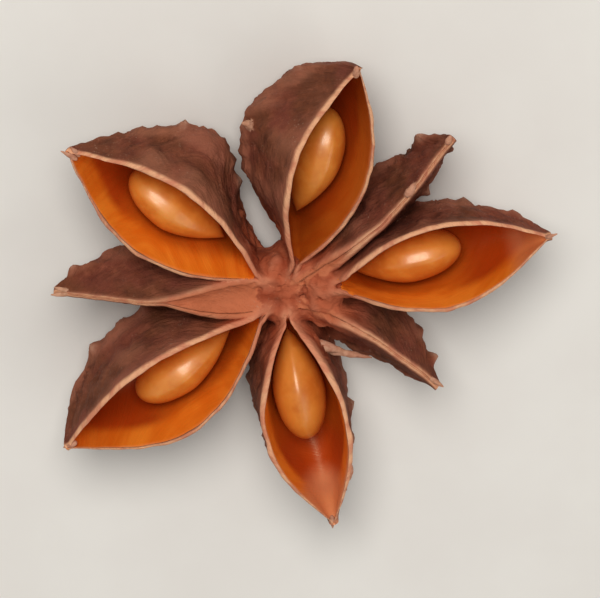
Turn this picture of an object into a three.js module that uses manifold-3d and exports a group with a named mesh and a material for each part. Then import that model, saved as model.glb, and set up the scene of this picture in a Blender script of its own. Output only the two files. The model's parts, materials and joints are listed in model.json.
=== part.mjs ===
// Star anise: one dried pod lying on its keels. Eight boat-shaped carpels grow
// from a short hub. Five have split open along the top and each of those holds
// a glossy seed; three have stayed shut.
//
// Millimetres, +Z up, origin at the bottom centre of the bounding box.
import * as THREE from 'three';
import { LoftGeometry } from 'three/addons/geometries/LoftGeometry.js';
import { mergeVertices } from 'three/addons/utils/BufferGeometryUtils.js';
import Module from 'manifold-3d';

const wasm = await Module();
wasm.setup();

// ---------------------------------------------------------------------------
// Driving dimensions, mm and degrees

const HUB_REACH = 0.5;        // where a carpel starts, from the hub axis
const HUB_RIM_HEIGHT = 6.3;   // height of the lips where they meet the hub
const BEAK_HEIGHT = 7.5;      // height of the lips at the beak, without its hook
const BEAK_HOOK = 0.35;       // how far the very tip curls up
const BEAK_DEPTH = 0.4;       // what is left of the keel at the beak
const LIP_THICKNESS = 0.42;   // thickness of one lip
const SEAM_HALF_WIDTH = 0.05; // half the seam where the lips touch
const FUSION = 0.06;          // how far neighbours sink into each other
const SEAM_DEPTH = 0.35;      // how deep the seam cuts in,
const SEAM_FRACTION = 0.45;   // and at most how much of the keel depth
const CAVITY_FRACTION = 0.84; // how much of the keel depth the cavity takes
const CAVITY_BELLY = 2.2;     // widest half-width of the cavity below its lips
const KEEL_WALL = 0.6;        // keel depth that no cavity reaches into
const FLANK_WALL = 0.45;      // least thickness of a flank beside a cavity
const BEAK_WALL = 0.22;       // and near the beak
const KEEL_AT_HUB = 0.55;     // share of the full keel depth that is there at the hub
const ROOT_HALF_WIDTH = 0.5;  // reach of a flank at the hub
const TIP_HALF_WIDTH = 0.32;  // and at the beak
const LUMP_SIZE = 0.2;        // unevenness of the dried flank
const FLOOR_TRIM = 0.02;      // how much of the lowest keels is worn flat

const STATIONS = 16;          // sections along one carpel
const OUTER_POINTS = 15;      // points round the outside of a section
const OPEN_POINTS = 9;        // points across an open cavity
const SHUT_POINTS = 5;        // points across a closed seam

// One carpel per entry, counter-clockwise from +X.
//   azimuth  direction of the beak
//   reach    hub axis to beak
//   depth    lips to keel at the deepest place
//   crest    height of the lips at mid length
//   width    widest reach of the flanks to either side, [counter-clockwise, clockwise]
//   spread   below 1 the flanks are widest near the hub, above 1 near the beak
//   taper    how steeply the flanks fall away from there, [towards the hub, towards the beak]
//   roll     turn about its own length, opening towards the counter-clockwise side
//   bow      sideways bend of the lips at mid length, the same way
//   peak     where along the length the keel is deepest
//   blunt    fullness of the beak end, [how late, how steep]
//   gape     width of the opening, with the distance from the hub where it starts
//   seed     [distance along the carpel, depth below the lips, sideways]
//   ridge    half-width of a shut carpel's ridge, [near the hub, towards the beak]
//   trough   half-width of the hollow along that ridge, and how far along it runs
const CARPELS = [
  {
    azimuth: 14.6, reach: 18.5, depth: 8.75, crest: 8.65, width: [2.8, 2.9], spread: 0.9,
    taper: [1, 1], roll: 3, bow: 0, peak: 0.46, blunt: [1.8, 0.85],
    gape: 5.4, opening: 3.9, seed: [8.4, 4.6, 0],
  },
  {
    azimuth: 45.8, reach: 16.2, depth: 8, crest: 8.1, width: [1.7, 1.7], spread: 0.9,
    taper: [1, 1], roll: 1, bow: -0.75, peak: 0.5, blunt: [1.8, 0.85],
    ridge: [0.55, 0.24], trough: [0.1, 0.3],
  },
  {
    azimuth: 73, reach: 17.3, depth: 9, crest: 8.2, width: [4.3, 2.8], spread: 1.25,
    taper: [1.6, 1], roll: -19, bow: -0.3, peak: 0.52, blunt: [2.2, 0.75],
    gape: 5.1, opening: 2.6, seed: [9, 4.3, -0.45],
  },
  {
    azimuth: 143.4, reach: 18, depth: 8.9, crest: 8.6, width: [2.8, 4.7], spread: 1.1,
    taper: [5, 1.5], roll: 10, bow: 0.1, peak: 0.48, blunt: [1.6, 0.9],
    gape: 5.4, opening: 2.4, seed: [9.1, 4.3, 0.4],
  },
  {
    azimuth: 177.2, reach: 15.4, depth: 8.1, crest: 8.05, width: [2.1, 2.1], spread: 0.9,
    taper: [1, 1], roll: 7, bow: 0.35, peak: 0.45, blunt: [1.6, 0.9],
    ridge: [0.6, 0.22], trough: [1.0, 0.5],
  },
  {
    azimuth: 215.6, reach: 18.1, depth: 8.8, crest: 8.6, width: [2.8, 3.9], spread: 1.1,
    taper: [1.6, 1.1], roll: 9, bow: 0.95, peak: 0.48, blunt: [2.5, 0.62],
    gape: 5.5, opening: 2.4, seed: [8.8, 4.3, 0.35],
  },
  {
    azimuth: 282, reach: 16.4, depth: 8.7, crest: 8.6, width: [2.8, 3.2], spread: 0.9,
    taper: [1, 1], roll: 2, bow: -0.35, peak: 0.48, blunt: [2, 0.75],
    gape: 5.2, opening: 1.9, seed: [7.3, 4.5, -0.1],
  },
  {
    azimuth: 329.8, reach: 12, depth: 6, crest: 7.1, width: [2.6, 1.7], spread: 0.9,
    taper: [1, 1], roll: 8, bow: 0.6, peak: 0.45, blunt: [1.8, 0.8],
    ridge: [0.5, 0.28], trough: [0.1, 0.3],
  },
];

const SEED = { length: 7.8, thickness: 3.65, depth: 4.8, widestAt: 0.56, clearance: 0.06 };

// Hub column from the stalk scar underneath to the dimple on top,
// as [radius, height] pairs.
const HUB_PROFILE = [
  [0, 1.0], [0.9, 0.85], [1.3, 1.15], [2.1, 2.0], [2.7, 3.2],
  [2.8, 4.6], [2.4, 5.8], [1.7, 6.4], [0.8, 6.5], [0, 6.25],
];
const HUB_LOBES = 8;
const HUB_LOBE_SIZE = 0.08;

// Knuckles where the inner ends of the carpels have swollen together,
// as [azimuth, distance from the axis, height, radius].
const KNUCKLES = [
  [14, 2.8, 5.9, 1.55],
  [352, 2.5, 5.5, 1.5],
  [44, 2.7, 5.4, 1.3],
  [334, 3.0, 5.1, 1.25],
  [108, 1.6, 5.5, 1.15],
];

// A thin torn strip that stands out from the bottom carpel's flank, from end to
// end round the hub's axis, with its radius at either end.
const STRIP = { from: [2.3, -4.4, 4.8], to: [6.0, -5.1, 4.8], radius: [0.36, 0.14] };

const COLOURS = { husk: 0x6b4236, seed: 0xc8762a };

// ---------------------------------------------------------------------------
// Small helpers

const radians = THREE.MathUtils.degToRad;
const mix = THREE.MathUtils.lerp;
const ease = THREE.MathUtils.smoothstep;

// A closed three.js geometry as a Manifold solid: shared corners are merged
// and triangles that collapsed onto a pole are dropped.
function solidFrom(geometry) {
  const bare = new THREE.BufferGeometry();
  bare.setAttribute('position', geometry.getAttribute('position'));
  bare.setIndex(geometry.getIndex());
  const merged = mergeVertices(bare, 1e-4);
  const index = merged.getIndex().array;
  const kept = [];
  for (let i = 0; i < index.length; i += 3) {
    const [a, b, c] = [index[i], index[i + 1], index[i + 2]];
    if (a !== b && b !== c && c !== a) kept.push(a, b, c);
  }
  return new wasm.Manifold(new wasm.Mesh({
    numProp: 3,
    vertProperties: Float32Array.from(merged.getAttribute('position').array),
    triVerts: Uint32Array.from(kept),
  }));
}

// A Manifold solid as a named three.js mesh.
function meshFrom(solid, name, colour, roughness) {
  const { vertProperties, triVerts } = solid.getMesh();
  const geometry = new THREE.BufferGeometry();
  geometry.setAttribute('position', new THREE.BufferAttribute(Float32Array.from(vertProperties), 3));
  geometry.setIndex(Array.from(triVerts));
  geometry.computeVertexNormals();
  const material = new THREE.MeshStandardMaterial({ color: colour, roughness });
  const mesh = new THREE.Mesh(geometry, material);
  mesh.name = name;
  return mesh;
}

// ---------------------------------------------------------------------------
// One carpel. `t` runs from 0 at the hub to 1 at the beak.

const distanceAt = (carpel, t) => mix(HUB_REACH, carpel.reach, t);

const fractionAt = (carpel, distance) => (distance - HUB_REACH) / (carpel.reach - HUB_REACH);

// Height of the lips: straight from hub to beak, arched up to the crest.
function lipHeight(carpel, t) {
  const arch = carpel.crest - (HUB_RIM_HEIGHT + BEAK_HEIGHT) / 2;
  return mix(HUB_RIM_HEIGHT, BEAK_HEIGHT, t) + arch * Math.sin(Math.PI * t) + BEAK_HOOK * t ** 9;
}

// Depth from the lips to the keel: over half of it is there at the hub, and it
// runs out along a rounded curve to the beak.
function keelDepth(carpel, t) {
  const { depth, peak, blunt } = carpel;
  if (t < peak) return depth * mix(KEEL_AT_HUB, 1, Math.sin((Math.PI / 2) * (t / peak)));
  const beyond = (t - peak) / (1 - peak);
  const left = Math.max(0, 1 - beyond ** blunt[0]) ** blunt[1];
  return mix(BEAK_DEPTH, depth, left);
}

// Reach of one flank; `side` is 0 counter-clockwise and 1 clockwise.
function flankReach(carpel, side, t) {
  const swell = Math.max(0, Math.sin(Math.PI * t ** carpel.spread));
  const widestAt = 0.5 ** (1 / carpel.spread);
  const steepness = carpel.taper[t < widestAt ? 0 : 1];
  const least = mix(ROOT_HALF_WIDTH, TIP_HALF_WIDTH, t);
  return least + (carpel.width[side] - ROOT_HALF_WIDTH) * swell ** steepness;
}

// How far along its opening a station lies, or null where the lips are closed.
function openingFraction(carpel, t) {
  if (!carpel.gape) return null;
  const start = fractionAt(carpel, carpel.opening);
  const u = (t - start) / (0.985 - start);
  return u > 0 && u < 1 ? u : null;
}

// Half-width of the hollow along a shut carpel's ridge.
function troughWidth(carpel, t) {
  const [widest, end] = carpel.trough;
  const along = Math.min(1, t / end);
  return SEAM_HALF_WIDTH + (widest - SEAM_HALF_WIDTH) * Math.sin(Math.PI * along ** 0.6);
}

// Half-widths and depth of the cavity: { lip, belly, depth }.
function cavityAt(carpel, t) {
  const keel = keelDepth(carpel, t);
  const seam = Math.min(SEAM_DEPTH, SEAM_FRACTION * keel);
  const u = openingFraction(carpel, t);
  if (u === null) {
    const half = carpel.trough ? troughWidth(carpel, t) : SEAM_HALF_WIDTH;
    const hollow = carpel.trough ? Math.min(1, 0.15 + half) : 1;
    return { lip: half, belly: 0.6 * half, depth: hollow * seam };
  }
  const swell = Math.sin(Math.PI * u);
  const lip = SEAM_HALF_WIDTH + (carpel.gape / 2) * swell ** 0.95;
  const belly = SEAM_HALF_WIDTH + CAVITY_BELLY * swell ** 0.6;
  const fade = Math.min(1, u / 0.14) ** 0.5 * Math.min(1, (1 - u) / 0.12) ** 0.7;
  return { lip, belly, depth: seam + CAVITY_FRACTION * (keel - KEEL_WALL) * fade };
}

// A slow, irregular swelling of the flank, different on every carpel.
function lump(carpel, t, around) {
  const phase = carpel.azimuth;
  const coarse = Math.sin(15 * t + 3.1 * around + phase) * Math.cos(5.3 * around - 7 * t + 2 * phase);
  const fine = Math.sin(31 * t - 6.2 * around + 3 * phase);
  return LUMP_SIZE * (0.7 * coarse + 0.3 * fine) * Math.sin(Math.PI * t);
}

// One closed section as [sideways, depth] pairs, from the counter-clockwise
// lip across the cavity to the other lip, then round the keel and back.
function sectionOutline(carpel, t) {
  const cavity = cavityAt(carpel, t);
  const keel = keelDepth(carpel, t);
  const edge = carpel.ridge
    ? mix(carpel.ridge[0], carpel.ridge[1], ease(t, 0.1, 0.65))
    : LIP_THICKNESS * mix(1, 0.4, t ** 4);
  const lip = cavity.lip + edge;
  const [left, right] = [0, 1].map((side) => {
    const flank = flankReach(carpel, side, t);
    return Math.max(flank, mix(lip, flank, 0.6));
  });
  const wall = mix(FLANK_WALL, BEAK_WALL, t ** 4);
  const roomiest = Math.max(0.6 * SEAM_HALF_WIDTH, Math.min(left, right) - wall);
  const belly = Math.min(cavity.belly, roomiest);

  const insideCurve = new THREE.SplineCurve([
    new THREE.Vector2(cavity.lip, 0),
    new THREE.Vector2(mix(cavity.lip, belly, 0.5), 0.3 * cavity.depth),
    new THREE.Vector2(belly, 0.6 * cavity.depth),
    new THREE.Vector2(0.6 * belly, 0.9 * cavity.depth),
    new THREE.Vector2(0, cavity.depth),
    new THREE.Vector2(-0.6 * belly, 0.9 * cavity.depth),
    new THREE.Vector2(-belly, 0.6 * cavity.depth),
    new THREE.Vector2(-mix(cavity.lip, belly, 0.5), 0.3 * cavity.depth),
    new THREE.Vector2(-cavity.lip, 0),
  ]);
  const outsideCurve = new THREE.SplineCurve([
    new THREE.Vector2(-lip, 0.12),
    new THREE.Vector2(-mix(lip, right, 0.55), 0.36 * keel),
    new THREE.Vector2(-right, 0.7 * keel),
    new THREE.Vector2(-0.56 * right, 0.93 * keel),
    new THREE.Vector2(0, keel),
    new THREE.Vector2(0.56 * left, 0.93 * keel),
    new THREE.Vector2(left, 0.7 * keel),
    new THREE.Vector2(mix(lip, left, 0.55), 0.36 * keel),
    new THREE.Vector2(lip, 0.12),
  ]);

  const inside = insideCurve.getPoints((carpel.gape ? OPEN_POINTS : SHUT_POINTS) - 1);
  const outside = outsideCurve.getPoints(OUTER_POINTS - 1);
  outside.forEach((point, i) => {
    const around = i / (OUTER_POINTS - 1);
    const swelling = lump(carpel, t, around) * Math.sin(Math.PI * around);
    const away = new THREE.Vector2(point.x, point.y - 0.5 * keel).normalize();
    point.addScaledVector(away, swelling);
  });
  return [...inside, ...outside];
}

// Stations crowd together towards the beak, where the shape changes fastest.
function stationFraction(i) {
  const even = i / (STATIONS - 1);
  return mix(even, Math.sin((Math.PI / 2) * even), 0.55);
}

// Places section coordinates in space: along, sideways and depth below the lips.
function carpelPoint(carpel, t, sideways, depth) {
  const azimuth = radians(carpel.azimuth);
  const roll = radians(carpel.roll) * ease(t, 0.02, 0.4);
  const outward = new THREE.Vector3(Math.cos(azimuth), Math.sin(azimuth), 0);
  const left = new THREE.Vector3(-Math.sin(azimuth), Math.cos(azimuth), 0);
  const up = new THREE.Vector3(0, 0, 1);
  const across = left.clone().multiplyScalar(Math.cos(roll)).addScaledVector(up, -Math.sin(roll));
  const down = up.clone().multiplyScalar(-Math.cos(roll)).addScaledVector(left, -Math.sin(roll));
  return outward.multiplyScalar(distanceAt(carpel, t))
    .addScaledVector(left, carpel.bow * Math.sin(Math.PI * t))
    .addScaledVector(up, lipHeight(carpel, t))
    .addScaledVector(across, sideways)
    .addScaledVector(down, depth);
}

function carpelSolid(carpel) {
  const sections = [];
  for (let i = 0; i < STATIONS; i += 1) {
    const t = stationFraction(i);
    sections.push(sectionOutline(carpel, t).map((p) => carpelPoint(carpel, t, p.x, p.y)));
  }
  return solidFrom(new LoftGeometry(sections, { capStart: true, capEnd: true }));
}

// The room a carpel takes up from where it opens, cavity included, just inside
// its own surface.
function carpelRoom(carpel) {
  const sections = [];
  const start = fractionAt(carpel, carpel.opening);
  for (let i = 0; i < STATIONS; i += 1) {
    const t = stationFraction(i);
    if (stationFraction(i + 1) < start) continue;
    const outside = sectionOutline(carpel, t).slice(-OUTER_POINTS);
    const middle = new THREE.Vector2(0, keelDepth(carpel, t) / 2);
    sections.push(outside.map((p) => {
      const inward = middle.clone().sub(p);
      p.addScaledVector(inward, Math.min(0.5, FUSION / inward.length()));
      return carpelPoint(carpel, t, p.x, p.y);
    }));
  }
  return solidFrom(new LoftGeometry(sections, { capStart: true, capEnd: true }));
}

// ---------------------------------------------------------------------------
// Seeds: flattened, pointed towards the hub and rounded at the outer end.

function seedRadius(u) {
  const { widestAt } = SEED;
  if (u > widestAt) return Math.sqrt(Math.max(0, 1 - ((u - widestAt) / (1 - widestAt)) ** 2));
  return (1 - ((widestAt - u) / widestAt) ** 1.7) ** 0.95;
}

function seedSolid(carpel, extra) {
  const [distance, depth, sideways] = carpel.seed;
  const rings = 11;
  const profile = [];
  for (let i = 0; i <= rings; i += 1) {
    const u = (1 - Math.cos((Math.PI * i) / rings)) / 2;
    profile.push(new THREE.Vector2(seedRadius(u), u - 0.5));
  }
  const geometry = new THREE.LatheGeometry(profile, 14);

  const t = fractionAt(carpel, distance);
  const centre = carpelPoint(carpel, t, sideways, depth);
  const inner = carpelPoint(carpel, fractionAt(carpel, distance - 2), sideways, depth);
  const outer = carpelPoint(carpel, fractionAt(carpel, distance + 2), sideways, depth);
  const along = outer.sub(inner).normalize();
  const across = carpelPoint(carpel, t, sideways + 1, depth).sub(centre);
  const upward = new THREE.Vector3().crossVectors(along, across).normalize();
  across.crossVectors(upward, along);

  const placing = new THREE.Matrix4()
    .makeBasis(across, along, upward.negate())
    .scale(new THREE.Vector3(
      SEED.thickness / 2 + extra,
      SEED.length + 2 * extra,
      SEED.depth / 2 + extra,
    ))
    .setPosition(centre);
  return solidFrom(geometry.applyMatrix4(placing));
}

// ---------------------------------------------------------------------------
// Hub

function hubSolid() {
  const profile = HUB_PROFILE.map(([radius, height]) => new THREE.Vector2(radius, height));
  const geometry = new THREE.LatheGeometry(profile, 24).rotateX(Math.PI / 2);
  const position = geometry.getAttribute('position');
  for (let i = 0; i < position.count; i += 1) {
    const turn = Math.atan2(position.getY(i), position.getX(i));
    const lobed = 1 + HUB_LOBE_SIZE * Math.cos(HUB_LOBES * turn);
    position.setX(i, position.getX(i) * lobed);
    position.setY(i, position.getY(i) * lobed);
  }
  return solidFrom(geometry);
}

function knuckleSolid([azimuth, distance, height, radius]) {
  const turn = radians(azimuth);
  const geometry = new THREE.IcosahedronGeometry(radius, 1);
  geometry.translate(distance * Math.cos(turn), distance * Math.sin(turn), height);
  return solidFrom(geometry);
}

function stripSolid() {
  const start = new THREE.Vector3(...STRIP.from);
  const end = new THREE.Vector3(...STRIP.to);
  const along = end.clone().sub(start);
  const geometry = new THREE.CylinderGeometry(STRIP.radius[1], STRIP.radius[0], along.length(), 8, 1);
  const turn = new THREE.Quaternion().setFromUnitVectors(new THREE.Vector3(0, 1, 0), along.normalize());
  geometry.applyQuaternion(turn);
  geometry.translate(...start.add(end).multiplyScalar(0.5));
  return solidFrom(geometry);
}

function floorBlock() {
  const geometry = new THREE.BoxGeometry(80, 80, 10);
  geometry.translate(0, 0, -5 + FLOOR_TRIM);
  return solidFrom(geometry);
}

// ---------------------------------------------------------------------------
// The pod

function buildPod() {
  let filling = hubSolid();
  KNUCKLES.forEach((knuckle) => {
    filling = filling.add(knuckleSolid(knuckle));
  });
  CARPELS.filter((carpel) => !carpel.gape).forEach((carpel) => {
    filling = filling.add(carpelSolid(carpel));
  });
  // Nothing reaches into a cavity but its own walls.
  const opened = CARPELS.filter((carpel) => carpel.gape);
  opened.forEach((carpel) => {
    filling = filling.subtract(carpelRoom(carpel));
  });
  let pod = filling.add(stripSolid());
  opened.forEach((carpel) => {
    pod = pod.add(carpelSolid(carpel));
  });
  opened.forEach((carpel) => {
    pod = pod.subtract(seedSolid(carpel, SEED.clearance));
  });
  return pod.subtract(floorBlock());
}

const group = new THREE.Group();
group.name = 'star_anise';
group.add(meshFrom(buildPod(), 'pod', COLOURS.husk, 0.85));

CARPELS.filter((carpel) => carpel.gape).forEach((carpel, i) => {
  group.add(meshFrom(seedSolid(carpel, 0), `seed_${i + 1}`, COLOURS.seed, 0.25));
});

const bounds = new THREE.Box3().setFromObject(group);
const centre = bounds.getCenter(new THREE.Vector3());
group.children.forEach((mesh) => {
  mesh.geometry.translate(-centre.x, -centre.y, -bounds.min.z);
});

export default group;
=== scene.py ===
"""Star anise pod: the looks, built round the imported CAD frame.

The husk is one closed mesh: eight lofted carpels joined to a hub, wrinkled and
crinkled outside, smooth and glossy inside the open ones. A seed lies in each open
carpel. Shapes are worked out in millimetres round the hub's axis, then placed.
"""
import json
from itertools import product
from math import cos, hypot, radians, sin

import bmesh
import bpy
import numpy as np
from mathutils import Matrix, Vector
from mathutils.kdtree import KDTree

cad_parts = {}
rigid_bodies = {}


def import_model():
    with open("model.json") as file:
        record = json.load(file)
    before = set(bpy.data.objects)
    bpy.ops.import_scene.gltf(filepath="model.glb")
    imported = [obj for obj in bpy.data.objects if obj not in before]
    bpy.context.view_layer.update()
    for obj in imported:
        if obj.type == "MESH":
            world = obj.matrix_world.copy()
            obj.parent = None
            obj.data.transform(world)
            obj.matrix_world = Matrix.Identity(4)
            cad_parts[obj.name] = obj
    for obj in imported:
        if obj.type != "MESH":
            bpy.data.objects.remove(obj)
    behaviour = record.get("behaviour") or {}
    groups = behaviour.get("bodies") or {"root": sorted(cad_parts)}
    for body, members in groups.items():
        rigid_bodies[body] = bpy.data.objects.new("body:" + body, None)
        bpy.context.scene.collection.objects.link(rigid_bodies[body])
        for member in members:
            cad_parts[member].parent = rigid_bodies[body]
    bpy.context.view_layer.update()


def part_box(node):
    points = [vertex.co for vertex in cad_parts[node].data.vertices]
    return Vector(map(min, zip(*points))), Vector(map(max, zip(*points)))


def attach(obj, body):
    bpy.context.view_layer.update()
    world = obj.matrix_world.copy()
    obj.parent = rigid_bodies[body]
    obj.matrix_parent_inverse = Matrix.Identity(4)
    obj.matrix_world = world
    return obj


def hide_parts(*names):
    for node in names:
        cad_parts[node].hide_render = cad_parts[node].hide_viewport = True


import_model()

MM = 0.001

# ==== Driving dimensions, mm and degrees, the same as the CAD model's

HUB_REACH = 0.5
HUB_RIM_HEIGHT = 6.3
BEAK_HEIGHT = 7.5
BEAK_HOOK = 0.35
BEAK_DEPTH = 0.4
LIP_THICKNESS = 0.36
SEAM_HALF_WIDTH = 0.05
SEAM_DEPTH = 0.35
SEAM_FRACTION = 0.45
SEAM_BELLY, SEAM_LEAST = 0.6, 0.15  # share of its half-width, and of its depth if narrow
CAVITY_FRACTION = 0.84
CAVITY_BELLY = 2.2
KEEL_WALL = 0.6
FLANK_WALL = 0.45
BEAK_WALL = 0.22
FUSION = 0.06
KEEL_AT_HUB = 0.55
ROOT_HALF_WIDTH = 0.5
TIP_HALF_WIDTH = 0.32
FLOOR_TRIM = 0.02
LEAST_BELLY = 0.03
FLANK_EDGE = 0.12
FLANK_TUCK = 0.6  # how far a flank narrower than the lip draws in below it
LIP_BULGE = 0.7  # height of a lip's rounding over its half-width
LIP_AT_BEAK = 0.4  # share of a lip's thickness left at the beak

# Where things begin or end, as shares of a carpel's length
SEAM_FADE = (0.03, 0.02)
ROLL_REACH = (0.02, 0.4)
RIDGE_TAPER = (0.1, 0.65)
CAVITY_END = 0.985
CAVITY_RAMPS = ((0.14, 0.5), (0.12, 0.7))  # shares of a cavity's length, with powers

# Powers: the higher, the nearer the beak, and the lower, the blunter the ends
BEAK_HOOK_POWER, THINNING_POWER = 9, 4
GAPE_POWER, BELLY_POWER, TROUGH_POWER = 0.95, 0.6, 0.6

# Half sections: [way out to the full width, depth] of the shoulder, depth of the widest
# place and [width, depth] of the foot, as shares
CAVITY_SECTION = dict(shoulder=(0.5, 0.3), widest=0.6, foot=(0.6, 0.9))
FLANK_SECTION = dict(shoulder=(0.55, 0.36), widest=0.7, foot=(0.56, 0.93))

# One carpel per entry, counter-clockwise from +X. `width` is the reach of the flanks
# [counter-clockwise, clockwise], `taper` how steeply they fall away [to the hub, to the
# beak], `seed` [distance along the carpel, depth below the lips, sideways], `ridge` the
# width of a shut carpel's ridge on either side of its hollow [at the hub, at the beak],
# `trough` the hollow's half-width and how far it runs, `pale_tip` how far the lining
# pales at the beak, `dark_lining` how much painted shade darkens the whole
# lining, and `lip_band` how many times the usual width the pale edge of either lip has.
CARPELS = [
    dict(azimuth=14.6, reach=18.5, depth=8.75, crest=8.65, width=[2.8, 2.9], spread=0.9,
         taper=[1, 1], roll=3, bow=0, peak=0.46, blunt=[1.8, 0.85],
         gape=5.4, opening=3.9, seed=[8.4, 4.6, 0], pale_tip=0.55),
    dict(azimuth=45.8, reach=16.2, depth=8, crest=8.1, width=[1.7, 1.7], spread=0.9,
         taper=[1, 1], roll=1, bow=-0.75, peak=0.5, blunt=[1.8, 0.85],
         ridge=[0.55, 0.24], trough=[0.1, 0.3]),
    # This carpel's whole lining gets painted shade.
    dict(azimuth=73, reach=17.3, depth=9, crest=8.2, width=[4.3, 2.8], spread=1.25,
         taper=[1.6, 1], roll=-19, bow=-0.3, peak=0.52, blunt=[2.2, 0.75],
         gape=5.1, opening=2.6, seed=[9, 4.3, -0.45], dark_lining=0.7),
    dict(azimuth=143.4, reach=18, depth=8.9, crest=8.6, width=[2.8, 4.7], spread=1.1,
         taper=[5, 1.5], roll=10, bow=0.1, peak=0.48, blunt=[1.6, 0.9],
         gape=5.4, opening=2.4, seed=[9.1, 4.3, 0.4]),
    dict(azimuth=177.2, reach=15.4, depth=8.1, crest=8.05, width=[2.1, 2.1], spread=0.9,
         taper=[1, 1], roll=7, bow=0.35, peak=0.45, blunt=[1.6, 0.9],
         ridge=[0.6, 0.22], trough=[1.0, 0.5]),
    dict(azimuth=215.6, reach=18.1, depth=8.8, crest=8.6, width=[2.8, 3.9], spread=1.1,
         taper=[1.6, 1.1], roll=9, bow=0.95, peak=0.48, blunt=[2.5, 0.62],
         gape=5.5, opening=2.4, seed=[8.8, 4.3, 0.35]),
    dict(azimuth=282, reach=16.4, depth=8.7, crest=8.6, width=[2.8, 3.2], spread=0.9,
         taper=[1, 1], roll=2, bow=-0.35, peak=0.48, blunt=[2, 0.75],
         gape=5.2, opening=1.9, seed=[7.3, 4.5, -0.1], pale_tip=0.75, lip_band=[3.0, 1.5]),
    dict(azimuth=329.8, reach=12, depth=6, crest=7.1, width=[2.6, 1.7], spread=0.9,
         taper=[1, 1], roll=8, bow=0.6, peak=0.45, blunt=[1.8, 0.8],
         ridge=[0.5, 0.28], trough=[0.1, 0.3]),
]

SEED_LENGTH, SEED_THICKNESS, SEED_DEPTH = 7.8, 3.65, 4.8
SEED_WIDEST_AT = 0.56
SEED_POINT = (1.7, 0.95)  # how late and how steeply a seed comes to its point
SEED_RIDGE = dict(height=0.035, width=0.16, fade=(0.2, 0.8))
SEED_LUMPS = dict(height=0.03, size=2.6)

# [radius, height] of the hub column, and [azimuth, distance, height, radius]
# of the knuckles where inner ends of carpels have swollen together.
HUB_PROFILE = [[0, 1.0], [0.9, 0.85], [1.3, 1.15], [2.1, 2.0], [2.7, 3.2],
               [2.8, 4.6], [2.4, 5.8], [1.7, 6.4], [0.8, 6.5], [0, 6.25]]
HUB_LOBES = 8
HUB_LOBE_SIZE = 0.08
KNUCKLES = [[14, 2.8, 5.9, 1.55], [352, 2.5, 5.5, 1.5], [44, 2.7, 5.4, 1.3],
            [334, 3.0, 5.1, 1.25], [108, 1.6, 5.5, 1.15]]

# A thin torn strip on the bottom carpel's flank, and the flap it tore from: both ends
# and their radii.
STRIPS = [[[2.3, -4.4, 4.8], [6.0, -5.1, 4.8], 0.36, 0.14],
          [[1.5, -3.6, 5.4], [4.3, -4.7, 4.95], 0.5, 0.2]]

# Pale points and nubs of dried husk, as [carpel, start, end, radius at the start,
# radius at the end], with places as [distance along the carpel, sideways, depth].
NUBS = [
    [0, [18.1, 0.05, 0.1], [19.0, 0.1, 0.0], 0.22, 0.08],
    [1, [11.1, 0.1, 0.1], [12.3, 0.2, 0.0], 0.3, 0.2],
    [1, [15.6, 0.1, 0.1], [16.3, 0.25, -0.1], 0.26, 0.18],
    [2, [16.6, 0.1, 0.1], [17.5, 0.3, -0.1], 0.28, 0.16],
    [2, [10.2, 4.0, 5.6], [10.4, 4.95, 5.3], 0.45, 0.15],
    [3, [17.1, 0.1, 0.15], [18.4, 0.25, -0.05], 0.24, 0.07],
    [3, [17.1, -0.15, 0.2], [18.0, -0.35, 0.15], 0.22, 0.08],
    [4, [14.5, 0.1, 0.15], [15.7, 0.25, 0.0], 0.24, 0.08],
    [4, [14.5, -0.1, 0.15], [15.5, -0.3, 0.1], 0.22, 0.07],
    [5, [17.3, 0, 0.25], [18.3, -0.1, 0.15], 0.26, 0.1],
    [6, [15.8, 0, 0.2], [16.8, -0.2, 0.25], 0.24, 0.08],
    [6, [12.3, 2.3, 0.3], [13.5, 1.85, 0.3], 0.2, 0.14],
    [7, [11.3, 0.1, 0.1], [12.4, 0.25, 0.1], 0.24, 0.09],
]

# Mesh density: stations along a carpel, then points across its cavity or seam,
# over one lip and round its outside.
OPEN_GRID = dict(stations=92, inside=37, lip=4, outside=81)
SHUT_GRID = dict(stations=88, inside=17, lip=4, outside=73)
CROWDING, CROWDED_BEAK, CROWDED_OPENING = 2, 0.06, 0.05
BOX_STATIONS = 60
BEAK_ROUNDING = 0.16
BEAK_RINGS = 3
HUB_RINGS, HUB_SIDES = 60, 96
SEED_RINGS, SEED_SIDES = 72, 64
SPIKE_RINGS, SPIKE_SIDES = 16, 18
KNUCKLE_SUBDIVISIONS = 5

# Relief of the dried husk, mm. `sway` is how far wrinkles are drawn out of line, along
# and round the carpel, and `edge` the distances from the lip over which they begin.
DENTS = dict(height=0.20, size=2.4)
SWAY = dict(height=0.5, size=1.9)
WRINKLES = dict(height=0.18, length=1.7, width=0.75, sway=(1, 2))
KEEL_WRINKLES = dict(height=0.16, length=1.6, width=0.9, sway=(1.6, -1.8))
TROUGH_WRINKLES = dict(height=0.07, length=2.5, width=0.35, edge=(0.1, 0.5))
LINING_RIPPLE = dict(height=0.03, length=3.5, width=0.35, edge=(0.3, 1))
GRAIN = dict(height=0.045, size=0.5)
HUB_LUMPS = dict(height=0.12, size=0.9)
KNUCKLE_DENTS = dict(height=0.16, size=0.55)
KNUCKLE_GRAIN = dict(height=0.05, size=0.2)
WRINKLES_ON_FLANK = 0.55
KEEL_EDGE = (0.45, 0.95)  # how far round towards the keel its wrinkles begin
RELIEF_EDGE = (0.25, 1.7)  # distances from the lip over which the relief begins, mm
RELIEF_FADE, RELIEF_AT_BEAK = (0.86, 1), 0.2  # where it fades, and to which share

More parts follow.
